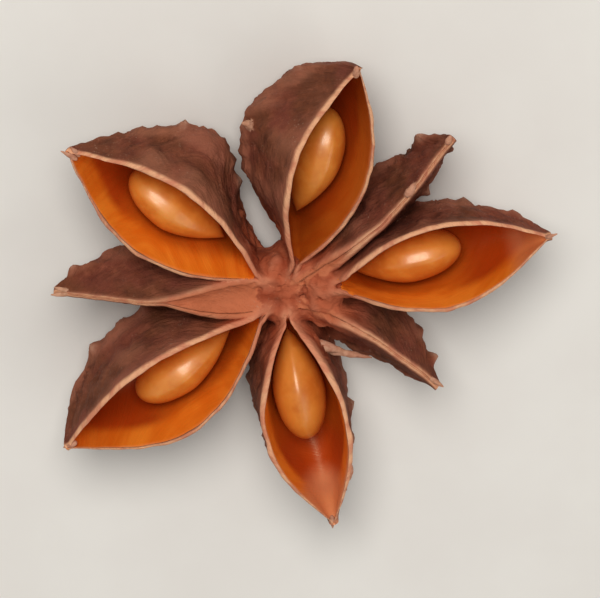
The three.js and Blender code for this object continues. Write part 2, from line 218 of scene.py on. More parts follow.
# The toothed crest along either edge of the keel, at these shares of the way round the
# outside; it starts and ends over shares of the length.
CREST = dict(height=0.15, teeth=0.45, places=(0.25, 0.75), width=0.045, length=1.05,
             tooth_edge=(-0.1, 0.7), start=(0.12, 0.3), end=(0.02, 0.1), full_colour=0.75)

# Lips: unevenness as a share of their thickness, and its length; waves as height, then
# [share, length, row of the noise] of the long and the short ones; where they reach.
LIP_UNEVENNESS, LIP_UNEVEN_LENGTH = 0.4, 1.3
LIP_LIFT = (0.11, [1, 2.3, 0.5], [0.35, 0.7, 3.5])
LIP_SHIFT = (0.08, [1, 1.9, 7.5], [0.4, 0.6, 9.5])
LIP_WAVE = dict(depth=1.2, start=(0, 0.15), fade=(0.9, 1), at_beak=0.35)

# Nubs and strips, coloured this much like the `crest` and the `lip`.
SPIKE = dict(bend=0.07, bend_towards=[0.3, 0.2, 0.93], blunt=0.4, crest=0.85, lip=0.3)
SPIKE_LUMPS = dict(height=0.3, size=0.4)

# Fused middle: distances from the hub's axis and heights over which it fades, mm,
# how much further it reaches on one side, and its relief
MELT_REACH = (1.1, 3.0)
MELT_BULGE = dict(azimuth=8, spread=48, size=1.2)
MELT_HEIGHT = (3.5, 5.0)
MELT_ROUNDS, MELT_SHARE = 30, 0.5
MELT_RELIEF = 0.22
MELT_DENTS = dict(height=1, size=0.8)
MELT_GRAIN = dict(height=0.4, size=0.3)
MELT_PITS = dict(depth=0.38, size=0.7, edge=(0.35, 0.7))
SEAM_REACH = 6.0  # slivers this near the axis
SEAM_SIZE = 0.05  # and up to this size are merged
SLIVER_SIZE = 0.0005  # edges up to this length are merged everywhere
MEND_ROUNDS = 6

# How the finish follows the shape
BLEND_ROUNDS = 12  # softening between neighbouring shapes
# Painted shade in hollows and painted light on raised places, by how far the surface lies below or
# above its surroundings:
HOLLOW_ROUNDS, HOLLOW_SHARE = 36, 0.6  # width over which a hollow is measured
HOLLOW_SOFTENING = 8
HOLLOW_LIMIT = 0.2
# less of that painted shade and light in a shut carpel's trough
HOLLOW_LOSS_IN_TROUGH = 0.85
LIP_EDGE = (0.08, 0.38)  # distances from the lip's top over which its colour fades, mm
PALE_TIP = (0.8, 0.88)  # shares of a carpel's length over which a pale tip begins
PINK_REACH = (3.2, 6.5)  # and from the hub's axis for the pinkish middle,
PINK_RAGGED = dict(height=0.8, size=1.4)  # with a ragged edge
# Colours of a shut carpel: half-widths of its ridge over which they fade, lengths of
# its trough over which that of the ridge begins and that of the trough ends, strength
RIDGE_EDGE, RIDGE_START, RIDGE_PALE = (0.5, 1.1), (0.9, 1.2), 0.8
TROUGH_EDGE, TROUGH_END, TROUGH_PINK = (0.8, 1.2), (0.7, 1.3), 0.9
SHUT_LIP_PALE = 0.4
LINED_SHARE = 0.6  # faces at least so lined take the lining's finish

# Painted shadow on the lining round each seed fades over these distances.
SEED_SHADE = (1.0, 1.5)  # darker lining round a seed, in half-sizes of the seed
SEED_CLEARANCE = 0.06
SEED_CORE = 0.4  # deeper inside a seed nothing is pushed out of it
FLOOR_MARGIN = 0.15  # lowest parts are eased up to rest on the floor
SHARP_ANGLE = 50

# ==== Noise and small helpers


def mix(a, b, t):
    return a + (b - a) * t


def ease(x, low, high):
    t = np.clip((x - low) / (high - low), 0, 1)
    return t * t * (3 - 2 * t)


def bell(x, middle, spread):
    return np.exp(-((x - middle) / spread) ** 2)


class Noise:
    """Smooth 3-D gradient noise, about -1 to 1, the same on every run."""

    def __init__(self, seed):
        random = np.random.default_rng(seed)
        self.order = random.permutation(256)
        slopes = random.normal(size=(256, 3))
        self.slopes = slopes / np.linalg.norm(slopes, axis=1, keepdims=True)

    def __call__(self, x, y=0.0, z=0.0):
        points = np.stack(np.broadcast_arrays(x, y, z), axis=-1).astype(float)
        cell = np.floor(points).astype(int)
        within = points - cell
        weight = within ** 3 * (within * (within * 6 - 15) + 10)
        total = np.zeros(points.shape[:-1])
        for corner in product((0, 1), repeat=3):
            lattice = cell + corner
            index = self.order[lattice[..., 0] & 255]
            index = self.order[(index + lattice[..., 1]) & 255]
            index = self.order[(index + lattice[..., 2]) & 255]
            share = np.where(corner, weight, 1 - weight).prod(axis=-1)
            total += share * (self.slopes[index] * (within - corner)).sum(axis=-1)
        return 1.6 * total

    def at(self, points, size):
        """The noise at points (..., 3), with lumps about `size` across."""
        return self(*np.moveaxis(points / size, -1, 0))

    def ridged(self, x, y, z):
        """Narrow crests between rounded hollows, about -1 to 1."""
        return 1 - 3.2 * np.abs(self(x, y, z))


dent_noise, wrinkle_noise, grain_noise, lip_noise, crest_noise, seed_noise = map(Noise, range(6))


def lumps(noise, kind, points):
    """Lumps of a kind given above, at points (..., 3)."""
    return kind["height"] * noise.at(points, kind["size"])


def streaks(noise, kind, along, around, row, warp=0):
    """Lengthwise wrinkles of a kind given above, drawn out of line by `warp`."""
    sway_along, sway_around = kind.get("sway", (0, 0))
    return kind["height"] * noise(along / kind["length"] + sway_along * warp,
                                  around / kind["width"] + sway_around * warp, row)


def spline(controls, count):
    """Catmull-Rom curves through controls (rows, points, 2), `count` points each."""
    last = controls.shape[1] - 1
    position = np.linspace(0, last, count)
    start = np.minimum(position.astype(int), last - 1)
    t = (position - start)[None, :, None]
    before, here, there, after = (controls[:, np.clip(start + k, 0, last)] for k in (-1, 0, 1, 2))
    leave, arrive = (there - before) / 2, (after - here) / 2
    cubic = 2 * here - 2 * there + leave + arrive
    square = 3 * there - 3 * here - 2 * leave - arrive
    return ((cubic * t + square) * t + leave) * t + here


# ==== One carpel. `t` runs from 0 at the hub to 1 at the beak.


def distance_at(carpel, t):
    return mix(HUB_REACH, carpel["reach"], t)


def fraction_at(carpel, distance):
    return (distance - HUB_REACH) / (carpel["reach"] - HUB_REACH)


def lip_height(carpel, t):
    arch = carpel["crest"] - (HUB_RIM_HEIGHT + BEAK_HEIGHT) / 2
    hook = BEAK_HOOK * t ** BEAK_HOOK_POWER
    return mix(HUB_RIM_HEIGHT, BEAK_HEIGHT, t) + arch * np.sin(np.pi * t) + hook


def keel_depth(carpel, t):
    """Depth from the lips to the keel, which runs out along a rounded curve to the beak."""
    depth, peak, (late, steep) = carpel["depth"], carpel["peak"], carpel["blunt"]
    rising = depth * mix(KEEL_AT_HUB, 1, np.sin(np.pi / 2 * np.minimum(t / peak, 1)))
    beyond = np.clip((t - peak) / (1 - peak), 0, 1)
    falling = mix(BEAK_DEPTH, depth, (1 - beyond ** late) ** steep)
    return np.where(t < peak, rising, falling)


def flank_reach(carpel, side, t):
    swell = np.sin(np.pi * t ** carpel["spread"]).clip(0)
    widest_at = 0.5 ** (1 / carpel["spread"])
    swell = swell ** np.where(t < widest_at, *carpel["taper"])
    least = mix(ROOT_HALF_WIDTH, TIP_HALF_WIDTH, t)
    return least + (carpel["width"][side] - ROOT_HALF_WIDTH) * swell


def trough_width(carpel, t):
    """Half-width of the hollow along a shut carpel's ridge."""
    widest, end = carpel["trough"]
    along = np.minimum(1, t / end)
    return SEAM_HALF_WIDTH + (widest - SEAM_HALF_WIDTH) * np.sin(np.pi * along ** TROUGH_POWER)


def ridge_width(carpel, t):
    """Width of a shut carpel's ridge on either side of that hollow."""
    return mix(*carpel["ridge"], ease(t, *RIDGE_TAPER))


def cavity(carpel, t):
    """Half-width at the lips, half-width at the belly and depth of the cavity or seam."""
    keel = keel_depth(carpel, t)
    begin, end = SEAM_FADE
    seam = np.minimum(SEAM_DEPTH, SEAM_FRACTION * keel) * ease(t, 0, begin) * ease(1 - t, 0, end)
    if "gape" not in carpel:
        half = trough_width(carpel, t)
        return half, SEAM_BELLY * half, np.minimum(1, SEAM_LEAST + half) * seam
    opening = fraction_at(carpel, carpel["opening"])
    u = np.clip((t - opening) / (CAVITY_END - opening), 0, 1)
    swell = np.sin(np.pi * u).clip(0)
    (begin, begin_power), (end, end_power) = CAVITY_RAMPS
    fade = np.minimum(1, u / begin) ** begin_power * np.minimum(1, (1 - u) / end) ** end_power
    return (SEAM_HALF_WIDTH + carpel["gape"] / 2 * swell ** GAPE_POWER,
            SEAM_HALF_WIDTH + CAVITY_BELLY * swell ** BELLY_POWER,
            seam + CAVITY_FRACTION * (keel - KEEL_WALL) * fade)


def place(carpel, t, sideways, depth):
    """Section coordinates to points (..., 3) round the hub's axis."""
    azimuth = radians(carpel["azimuth"])
    roll = radians(carpel["roll"]) * ease(t, *ROLL_REACH)
    outward = distance_at(carpel, t) + 0 * sideways
    left = carpel["bow"] * np.sin(np.pi * t) + sideways * np.cos(roll) - depth * np.sin(roll)
    up = lip_height(carpel, t) - sideways * np.sin(roll) - depth * np.cos(roll)
    return np.stack([outward * cos(azimuth) - left * sin(azimuth),
                     outward * sin(azimuth) + left * cos(azimuth),
                     up], axis=-1)


def place_at(carpel, distance, sideways, depth):
    """The same for one point at a distance along the carpel."""
    return place(carpel, np.array(fraction_at(carpel, distance)), np.array(sideways), depth)


def stations(carpel, count):
    """Fractions along a carpel, crowded at the beak and where its opening starts."""
    even = np.linspace(0, 1, 2000)
    crowding = 1 + CROWDING * bell(even, 1, CROWDED_BEAK)
    if "gape" in carpel:
        crowding += CROWDING * bell(even, fraction_at(carpel, carpel["opening"]), CROWDED_OPENING)
    reached = np.cumsum(crowding) - crowding[0]
    return np.interp(np.linspace(0, 1, count), reached / reached[-1], even)


def lip_arc(start, end, count):
    """Points between the edges of one lip, (rows, count, 2), bulging upwards."""
    turn = np.pi * (np.arange(count) + 1)[None, :, None] / (count + 1)
    middle, half = (start + end)[:, None] / 2, (end - start)[:, None] / 2
    bulge = np.zeros_like(half)
    bulge[..., 1] = -LIP_BULGE * np.linalg.norm(half, axis=-1)
    return middle - half * np.cos(turn) + bulge * np.sin(turn)


def half_section(edge, drop, reach, depth, shoulder, widest, foot):
    """Points from a lip out to the full width and in again towards the bottom."""
    return [(edge, drop), (mix(edge, reach, shoulder[0]), shoulder[1] * depth),
            (reach, widest * depth), (foot[0] * reach, foot[1] * depth)]


def other_side(points):
    return [(-sideways, depth) for sideways, depth in points]


def section_rings(carpel, t, grid):
    """Closed section outlines (stations, points, 2) as [sideways, depth].

    They run from the counter-clockwise lip across the cavity, over the other lip,
    round the keel and over the first lip back to the start.
    """
    lip, belly, depth = cavity(carpel, t)
    keel = keel_depth(carpel, t)
    thinning = t ** THINNING_POWER
    if "ridge" in carpel:
        outer_lip = lip + ridge_width(carpel, t)
    else:
        uneven = lip_noise(distance_at(carpel, t) / LIP_UNEVEN_LENGTH, carpel["azimuth"], 5.5)
        thickness = LIP_THICKNESS * (1 + LIP_UNEVENNESS * uneven)
        outer_lip = lip + thickness * mix(1, LIP_AT_BEAK, thinning)
    reaches = (flank_reach(carpel, side, t) for side in (0, 1))
    left, right = (np.maximum(reach, mix(outer_lip, reach, FLANK_TUCK)) for reach in reaches)
    wall = mix(FLANK_WALL, BEAK_WALL, thinning)
    belly = np.minimum(belly, np.maximum(LEAST_BELLY, np.minimum(left, right) - wall))
    zero = 0 * t
    room = half_section(lip, zero, belly, depth, **CAVITY_SECTION)
    left, right = (half_section(outer_lip, zero + FLANK_EDGE, reach, keel, **FLANK_SECTION)
                   for reach in (left, right))
    cavity_points = [*room, (zero, depth), *other_side(reversed(room))]
    flank_points = [*other_side(right), (zero, keel), *reversed(left)]
    inside, outside = (spline(np.moveaxis(np.array(points), 2, 0), grid[name])
                       for name, points in (("inside", cavity_points), ("outside", flank_points)))
    return np.concatenate([inside, lip_arc(inside[:, -1], outside[:, 0], grid["lip"]),
                           outside, lip_arc(outside[:, -1], inside[:, 0], grid["lip"])], axis=1)


def grid_normals(points, outward_column):
    """Unit normals of a tube of points (stations, ring, 3), outward at one column."""
    along = np.gradient(points, axis=0)
    around = np.roll(points, -1, axis=1) - np.roll(points, 1, axis=1)
    normals = np.cross(along, around)
    normals /= np.linalg.norm(normals, axis=-1, keepdims=True) + 1e-9
    middle = len(points) // 2
    outward = points[middle, outward_column] - points[middle].mean(axis=0)
    return normals * np.sign(normals[middle, outward_column] @ outward)


def lip_wave(wave, along, row):
    height, *parts = wave
    return height * sum(share * lip_noise(along / length, row, layer)
                        for share, length, layer in parts)


def carpel_surface(carpel, index):
    """Points of one carpel (stations, ring, 3), what its finish needs to know, and its room.

    The room is the same shape with its cavity filled in, just inside its surface.
    """
    opened = "gape" in carpel
    grid = OPEN_GRID if opened else SHUT_GRID
    t = stations(carpel, grid["stations"])
    rings = section_rings(carpel, t, grid)
    t = t[:, None]
    points = place(carpel, t, rings[..., 0], rings[..., 1])
    along = distance_at(carpel, t)

    # Where each column is: in the cavity, on the outside, how far round it.
    column = np.arange(rings.shape[1])
    first_outside = grid["inside"] + grid["lip"]
    in_cavity = column < grid["inside"]
    round_keel = (column - first_outside) / (grid["outside"] - 1)
    outside = (round_keel >= 0) & (round_keel <= 1)
    keel_share = np.where(outside, np.sin(np.pi * np.clip(round_keel, 0, 1)), 0)
    keel_column = first_outside + grid["outside"] // 2

    # Distance over the surface from the top of the nearer lip.
    step = np.linalg.norm(rings - np.roll(rings, 1, axis=1), axis=-1)
    reached = np.cumsum(step, axis=1)
    length = reached[:, -1:]
    right_top = grid["inside"] + grid["lip"] // 2
    left_top = rings.shape[1] - 1 - grid["lip"] // 2

    def away_from(top):
        gap = np.abs(reached - reached[:, top:top + 1])
        return np.minimum(gap, length - gap)

    to_right, to_left = away_from(right_top), away_from(left_top)
    from_lip = np.minimum(to_right, to_left)
    around = reached - reached[:, keel_column:keel_column + 1]

    normals = grid_normals(points, keel_column)
    tip = mix(1, RELIEF_AT_BEAK, ease(t, *RELIEF_FADE))
    off_lip = ease(from_lip, *RELIEF_EDGE)
    # Here and below, what multiplies `index` only keeps the carpels' noise apart.
    own = points + 31.7 * index

    # The dried outside: dents, wrinkles that run lengthwise, and fine grain.
    warp = lumps(dent_noise, SWAY, own)
    lengthwise = streaks(wrinkle_noise.ridged, WRINKLES, along, around, 7.3 * index, warp)
    crackle = streaks(wrinkle_noise.ridged, KEEL_WRINKLES, along, around, 3.1 * index, warp)
    relief = (lumps(dent_noise, DENTS, own)
              + lengthwise * mix(WRINKLES_ON_FLANK, 1, keel_share)
              + crackle * ease(keel_share, *KEEL_EDGE)
              + lumps(grain_noise, GRAIN, own)) * off_lip

    # A toothed crest where each flank turns under to the keel.
    side = np.where(round_keel < 0.5, 0, 1)
    tooth = crest_noise(along / CREST["length"], 3.1 * side + 0 * along, 5.7 * index)
    shoulder = sum(bell(round_keel, middle, CREST["width"]) for middle in CREST["places"])
    body = ease(t, *CREST["start"]) * ease(1 - t, *CREST["end"])
    crest = shoulder * body * (CREST["height"] + CREST["teeth"] * ease(tooth, *CREST["tooth_edge"]))
    outward = np.where(outside, relief * tip + crest, 0)

    # A shut carpel's trough is finely wrinkled; the lining only ripples lengthwise.
    if opened:
        inner = streaks(grain_noise, LINING_RIPPLE, along, around, 3.9 * index)
        inner = inner * ease(from_lip, *LINING_RIPPLE["edge"])
    else:
        inner = streaks(wrinkle_noise, TROUGH_WRINKLES, along, around, index)
        inner = inner * ease(from_lip, *TROUGH_WRINKLES["edge"])
    outward = np.where(in_cavity, inner, outward)
    points = points + normals * outward[..., None]

    # Wavy lips, inside and outside together. Shut lips wave as one.
    nearer_left = to_left < to_right
    lip_row = 4.7 * index + (2.3 if opened else 0.15) * nearer_left
    hold = (bell(from_lip, 0, LIP_WAVE["depth"])
            * mix(1, LIP_WAVE["at_beak"], ease(t, *LIP_WAVE["fade"])) * ease(t, *LIP_WAVE["start"]))
    shift = lip_wave(LIP_SHIFT, along, lip_row) * hold
    azimuth = radians(carpel["azimuth"])
    points[..., 2] += lip_wave(LIP_LIFT, along, lip_row) * hold
    points[..., 0] -= shift * sin(azimuth)
    points[..., 1] += shift * cos(azimuth)

    room = None
    if opened:
        points[:, in_cavity] = clear_of_seed(points[:, in_cavity], carpel)
        first = np.searchsorted(t[:, 0], fraction_at(carpel, carpel["opening"])) - 1
        room = (points - FUSION * normals)[first:, right_top:left_top + 1]

    band = carpel.get("lip_band", [1, 1])
    lip = 1 - ease(from_lip / np.where(nearer_left, *band), *LIP_EDGE)
    pink = 1 - ease(along + lumps(dent_noise, PINK_RAGGED, own), *PINK_REACH)
    on_trough = 0
    if not opened:
        end = carpel["trough"][1]
        ridge_half = trough_width(carpel, t) + ridge_width(carpel, t)
        from_middle = away_from(grid["inside"] // 2) / ridge_half
        on_ridge = 1 - ease(from_middle, *RIDGE_EDGE)
        lip = mix(SHUT_LIP_PALE * lip, RIDGE_PALE * on_ridge, ease(t / end, *RIDGE_START))
        on_trough = (1 - ease(from_middle, *TROUGH_EDGE)) * (1 - ease(t / end, *TROUGH_END))
        pink = np.maximum(pink, TROUGH_PINK * on_trough)

    facts = dict(
        from_lip=from_lip,
        lip=lip,
        pink=pink,
        lining=in_cavity & opened & (t > fraction_at(carpel, carpel.get("opening", 0))),
        near_seed=seed_nearness(points, carpel) if opened else 0,
        pale_tip=carpel.get("pale_tip", 0) * ease(t, *PALE_TIP),
        dark_lining=carpel.get("dark_lining", 0),
        trough=on_trough,
        crest=crest / CREST["full_colour"],
        along=t,
        strip_x=along,
        strip_y=around,
        strip_z=9.1 * index,
    )
    whole = np.zeros(points.shape[:2])
    return points, {name: value + whole for name, value in facts.items()}, room


def tube(lattice, start, finish):
    """A tube of points (rows, ring, 3) closed by a point at each end, as (vertices, faces)."""
    rows, ring = lattice.shape[:2]
    index = np.arange(rows * ring).reshape(rows, ring)
    beside = np.roll(index, -1, axis=1)
    quads = np.stack([index[:-1], beside[:-1], beside[1:], index[1:]], axis=-1).reshape(-1, 4)
    caps = [(rows * ring, b, a) for a, b in zip(index[0], beside[0])]
    caps += [(rows * ring + 1, a, b) for a, b in zip(index[-1], beside[-1])]
    vertices = np.concatenate([lattice.reshape(-1, 3), [start, finish]])
    return vertices, [*map(tuple, quads.tolist()), *caps]


def round_beak(points, facts):
    """Closes a carpel with a rounded beak; gives (vertices, faces, facts)."""
    end, middle = points[-1], points[-1].mean(axis=0)
    ahead = middle - points[-4].mean(axis=0)
    ahead *= BEAK_ROUNDING / np.linalg.norm(ahead)
    turns = np.pi / 2 * np.arange(1, BEAK_RINGS + 1)[:, None, None] / (BEAK_RINGS + 1)
    beak = middle + (end - middle) * np.cos(turns) + ahead * np.sin(turns)
    vertices, faces = tube(np.concatenate([points, beak]), points[0].mean(axis=0), middle + ahead)
    full = {}
    for name, value in facts.items():
        rows = np.concatenate([value] + [value[-1:]] * BEAK_RINGS)
        full[name] = np.concatenate([rows.ravel(), [value[0].mean(), value[-1].mean()]])
    return vertices, faces, full


# ==== Seeds: flattened, pointed towards the hub and rounded at the outer end.


def seed_radius(u):
    outer = np.sqrt((1 - ((u - SEED_WIDEST_AT) / (1 - SEED_WIDEST_AT)) ** 2).clip(0))
    late, steep = SEED_POINT
    inner = (1 - ((SEED_WIDEST_AT - u).clip(0) / SEED_WIDEST_AT) ** late).clip(0) ** steep
    return np.where(u > SEED_WIDEST_AT, outer, inner)


def seed_frame(carpel):
    """Centre of a seed, and its axes as rows: across, along and up."""
    distance, depth, sideways = carpel["seed"]
    centre, inner, outer, beside = (
        place_at(carpel, distance + ahead, sideways + aside, depth)
        for ahead, aside in ((0, 0), (-2, 0), (2, 0), (0, 1)))
    along = (outer - inner) / np.linalg.norm(outer - inner)
    up = np.cross(beside - centre, along)
    up /= np.linalg.norm(up)
    up *= np.sign(up[2])
    return centre, np.array([np.cross(along, up), along, up])


def clear_of_seed(points, carpel):
    """Pushes cavity points out of the seed, so that it lies in a fitting hollow."""
    centre, axes = seed_frame(carpel)
    local = (points - centre) @ axes.T
    u = local[..., 1] / SEED_LENGTH + 0.5
    radius = seed_radius(u.clip(0, 1))
    half = np.array([SEED_THICKNESS, SEED_DEPTH]) / 2 + SEED_CLEARANCE
    inside = np.hypot(local[..., 0] / half[0], local[..., 2] / half[1]) / (radius + 1e-6)
    within = (u > 0) & (u < 1) & (inside < 1) & (inside > SEED_CORE)
    push = np.where(within, 1 / inside.clip(SEED_CORE), 1)
    local[..., 0] *= push
    local[..., 2] *= push
    return centre + local @ axes


def seed_nearness(points, carpel):
    """1 against the seed, fading to 0 a little way off: where the lining gets a painted shadow from
    the seed.
    """
    centre, axes = seed_frame(carpel)
    half = np.array([SEED_THICKNESS, SEED_LENGTH, SEED_DEPTH]) / 2
    return 1 - ease(np.linalg.norm((points - centre) @ axes.T / half, axis=-1), *SEED_SHADE)


def seed_shape(carpel, index):
    """Vertices and faces of one seed, a little uneven, with a ridge along its upper edge."""
    u = (1 - np.cos(np.pi * np.arange(1, SEED_RINGS) / SEED_RINGS))[:, None] / 2
    turn = 2 * np.pi * np.arange(SEED_SIDES)[None, :] / SEED_SIDES
    radius = seed_radius(u)
    ridge = SEED_RIDGE["height"] * bell(np.abs(turn - np.pi / 2), 0, SEED_RIDGE["width"])
    ridge = ridge * ease(radius, *SEED_RIDGE["fade"])
    local = np.stack([SEED_THICKNESS / 2 * radius * np.cos(turn) * (1 + 0 * u),
                      SEED_LENGTH * (u - 0.5) + 0 * turn,
                      SEED_DEPTH / 2 * radius * np.sin(turn)], axis=-1)
    uneven = 1 - SEED_LUMPS["height"] + lumps(seed_noise, SEED_LUMPS, local + 17.0 * index) + ridge
    local[..., 0] *= uneven
    local[..., 2] *= uneven
    centre, axes = seed_frame(carpel)
    end = SEED_LENGTH / 2 * axes[1]
    vertices, faces = tube(centre + local @ axes, centre - end, centre + end)
    return vertices, faces, dict(along=np.concatenate([(u + 0 * turn).ravel(), [0, 1]]))


# ==== Hub

FACT_NAMES = ("from_lip", "lip", "pink", "lining", "near_seed", "pale_tip", "dark_lining",
              "trough", "crest", "along", "strip_x", "strip_y", "strip_z")


def hub_facts(vertices):
    """Finish values for parts that belong to no carpel."""
    facts = {name: np.zeros(len(vertices)) for name in FACT_NAMES}
    facts["from_lip"] += 2.0
    facts["pink"] += 1 - ease(np.hypot(vertices[:, 0], vertices[:, 1]), *PINK_REACH)
    facts["strip_x"], facts["strip_y"], facts["strip_z"] = vertices.T
    return facts


def hub_shape():
    """The hub column, from the stalk scar underneath to the dimple on top."""
    profile = spline(np.array([HUB_PROFILE], float), HUB_RINGS)[0][1:-1]
    turn = 2 * np.pi * np.arange(HUB_SIDES) / HUB_SIDES
    outward = np.stack([np.cos(turn), np.sin(turn), 0 * turn], axis=-1)
    radius = profile[:, :1].clip(0.02) * (1 + HUB_LOBE_SIZE * np.cos(HUB_LOBES * turn))
    points = radius[..., None] * outward
    points[..., 2] = profile[:, 1:]
    points += (lumps(dent_noise, HUB_LUMPS, points) * ease(radius, 0, 1))[..., None] * outward
    vertices, faces = tube(points, [0, 0, HUB_PROFILE[0][1]], [0, 0, HUB_PROFILE[-1][1]])
    return vertices, faces, hub_facts(vertices)


def spike_shape(start, end, radius_start, radius_end):
    """A tapered, slightly crooked point of dried husk with rounded ends."""
    start, end = np.array(start, float), np.array(end, float)
    length = np.linalg.norm(end - start)
    along = (end - start) / length
    beside = np.cross(along, SPIKE["bend_towards"])
    beside /= np.linalg.norm(beside)
    above = np.cross(beside, along)
    u = (1 - np.cos(np.pi * np.arange(1, SPIKE_RINGS) / SPIKE_RINGS))[:, None, None] / 2
    turn = (2 * np.pi * np.arange(SPIKE_SIDES) / SPIKE_SIDES)[None, :, None]
    radius = mix(radius_start, radius_end, u) * (4 * u * (1 - u)).clip(0) ** SPIKE["blunt"]
    path = start + (end - start) * u + SPIKE["bend"] * length * np.sin(np.pi * u) * above
    points = path + radius * (np.cos(turn) * beside + np.sin(turn) * above)
    points += lumps(grain_noise, SPIKE_LUMPS, points)[..., None] * (points - path)
    vertices, faces = tube(points, start, end)
    facts = hub_facts(vertices)
    facts["crest"] += SPIKE["crest"]
    facts["lip"] += SPIKE["lip"]
    return vertices, faces, facts


def nub_shape(index, start, end, radius_start, radius_end):
    """A nub on a carpel, between two places given along it."""
    ends = (place_at(CARPELS[index], *end) for end in (start, end))
    return spike_shape(*ends, radius_start, radius_end)


def knuckle_shape(azimuth, distance, height, radius):
    """A lumpy ball where the inner ends of carpels have swollen together."""
    ball = bmesh.new()
    bmesh.ops.create_icosphere(ball, subdivisions=KNUCKLE_SUBDIVISIONS, radius=1)
    unit = np.array([v.co for v in ball.verts])
    faces = [tuple(v.index for v in face.verts) for face in ball.faces]
    ball.free()
    turn = radians(azimuth)
    centre = np.array([distance * cos(turn), distance * sin(turn), height])
    own = unit + azimuth
    uneven = 1 + lumps(dent_noise, KNUCKLE_DENTS, own) + lumps(grain_noise, KNUCKLE_GRAIN, own)
    vertices = centre + unit * radius * uneven[:, None]
    return vertices, faces, hub_facts(vertices)


# ==== Meshes


def hub_place():
    """Where the hub's axis stands in the CAD frame, mm: the carpels fill the pod's box."""
    t = np.linspace(0, 1, BOX_STATIONS)
    outlines = (np.moveaxis(section_rings(carpel, t, SHUT_GRID), -1, 0) for carpel in CARPELS)
    points = np.concatenate([place(carpel, t[:, None], *outline).reshape(-1, 3)
                             for carpel, outline in zip(CARPELS, outlines)])
    low, high = (np.array(corner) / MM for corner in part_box("pod"))
    across = (low + high - points.min(axis=0) - points.max(axis=0)) / 2
    return np.array([across[0], across[1], low[2] - FLOOR_TRIM])


def add_object(name, data):
    added = bpy.data.objects.new(name, data)
    bpy.context.scene.collection.objects.link(added)
    return added


def mesh_object(name, vertices, faces):
    """A mesh object whose faces point outwards."""
    mesh = bpy.data.meshes.new(name)
    mesh.from_pydata(np.asarray(vertices).tolist(), [], faces)
    piece = add_object(name, mesh)
    mesh.calc_loop_triangles()
    corners = np.zeros(3 * len(mesh.loop_triangles), int)
    mesh.loop_triangles.foreach_get("vertices", corners)
    a, b, c = np.asarray(vertices)[corners.reshape(-1, 3)].transpose(1, 0, 2)
    if (a * np.cross(b, c)).sum() < 0:
        mesh.flip_normals()
    return piece


def combine(whole, operation, others):
    """Adds closed mesh objects to another, or cuts them out of it, and uses them up."""
    for other in others:
        boolean = whole.modifiers.new("boolean", "BOOLEAN")
        boolean.operation = operation
        boolean.solver = "MANIFOLD"
        boolean.object = other
        graph = bpy.context.evaluated_depsgraph_get()
        mesh = bpy.data.meshes.new_from_object(whole.evaluated_get(graph))
        whole.modifiers.clear()
        used = [whole.data, other.data]
        whole.data = mesh
        bpy.data.objects.remove(other)
        bpy.data.batch_remove(used)


def vectors(items, name):
    values = np.empty(3 * len(items), np.float32)
    items.foreach_get(name, values)
    return values.reshape(-1, 3)


def vertex_array(mesh):
    return vectors(mesh.vertices, "co").astype(float)


def vertex_normals(mesh):
    return vectors(mesh.vertex_normals, "vector")


def move_vertices(mesh, points):
    mesh.vertices.foreach_set("co", points.ravel().astype(np.float32))
    mesh.update()


def give_facts(mesh, facts):
    """Stores named values, one per vertex, for the materials to read."""
    for name, value in facts.items():
        attribute = mesh.attributes.new(name, "FLOAT", "POINT")
        attribute.data.foreach_set("value", np.asarray(value, np.float32))


def spread_out(values, mesh):
    """The mean of each vertex's neighbours."""
    ends = np.empty(2 * len(mesh.edges), np.int32)
    mesh.edges.foreach_get("vertices", ends)
    a, b = ends.reshape(-1, 2).T
    here, there = np.concatenate([a, b]), np.concatenate([b, a])
    count = np.bincount(here, minlength=len(values)).clip(1)
    return np.stack([np.bincount(here, weights=column[there], minlength=len(values)) / count
                     for column in values.T], axis=-1)


def smoothed(values, mesh, rounds, share):
    """Values drawn towards the mean of their neighbours, by a share of the way each round."""
    for _ in range(rounds):
        values = values + share * (spread_out(values, mesh) - values)
    return values


def nearest_facts(mesh, shapes):
    """Facts for a joined mesh, each vertex taking those of the nearest vertex it came from.

    `border` is 1 where neighbouring vertices came from different shapes.
    """
    source = np.concatenate([vertices for vertices, _, _ in shapes])
    tree = KDTree(len(source))
    for i, point in enumerate(source):
        tree.insert(point, i)
    tree.balance()
    nearest = np.array([tree.find(point)[1] for point in vertex_array(mesh)])
    found = {name: np.concatenate([facts[name] for _, _, facts in shapes])[nearest]
             for name in FACT_NAMES}
    sizes = [len(vertices) for vertices, _, _ in shapes]
    origin = np.repeat(np.arange(len(shapes)), sizes)[nearest]
    differs = spread_out(np.stack([origin, origin ** 2], axis=-1).astype(float), mesh)
    spread = np.abs(differs[:, 0] - origin) + np.abs(differs[:, 1] - origin ** 2)
    border = (spread > 1e-6)[:, None].astype(float)
    found["border"] = (spread_out(border, mesh)[:, 0] + border[:, 0] > 0).astype(float)
    return found


def islands(grid):
    """The vertices of each separate part of a grid, the largest part first."""
    found, seen = [], set()
    for start in grid.verts:
        if start in seen:
            continue
        seen.add(start)
        island = [start]
        for vertex in island:
            beside = {edge.other_vert(vertex) for edge in vertex.link_edges} - seen
            seen |= beside
            island.extend(beside)
        found.append(island)
    return sorted(found, key=len, reverse=True)


def mend(grid):
    """Cuts away faces where sheets touch along an edge and caps the holes, until none do."""
    for _ in range(MEND_ROUNDS):
        torn = {v for edge in grid.edges if len(edge.link_faces) != 2 for v in edge.verts}
        if not torn:
            return
        around = {face for v in torn for face in v.link_faces}
        bmesh.ops.delete(grid, geom=list(around), context="FACES")
        bmesh.ops.delete(grid, geom=[v for v in grid.verts if not v.link_faces], context="VERTS")
        bmesh.ops.holes_fill(grid, edges=[e for e in grid.edges if e.is_boundary], sides=0)
        bmesh.ops.triangulate(grid, faces=[face for face in grid.faces if len(face.verts) > 4])


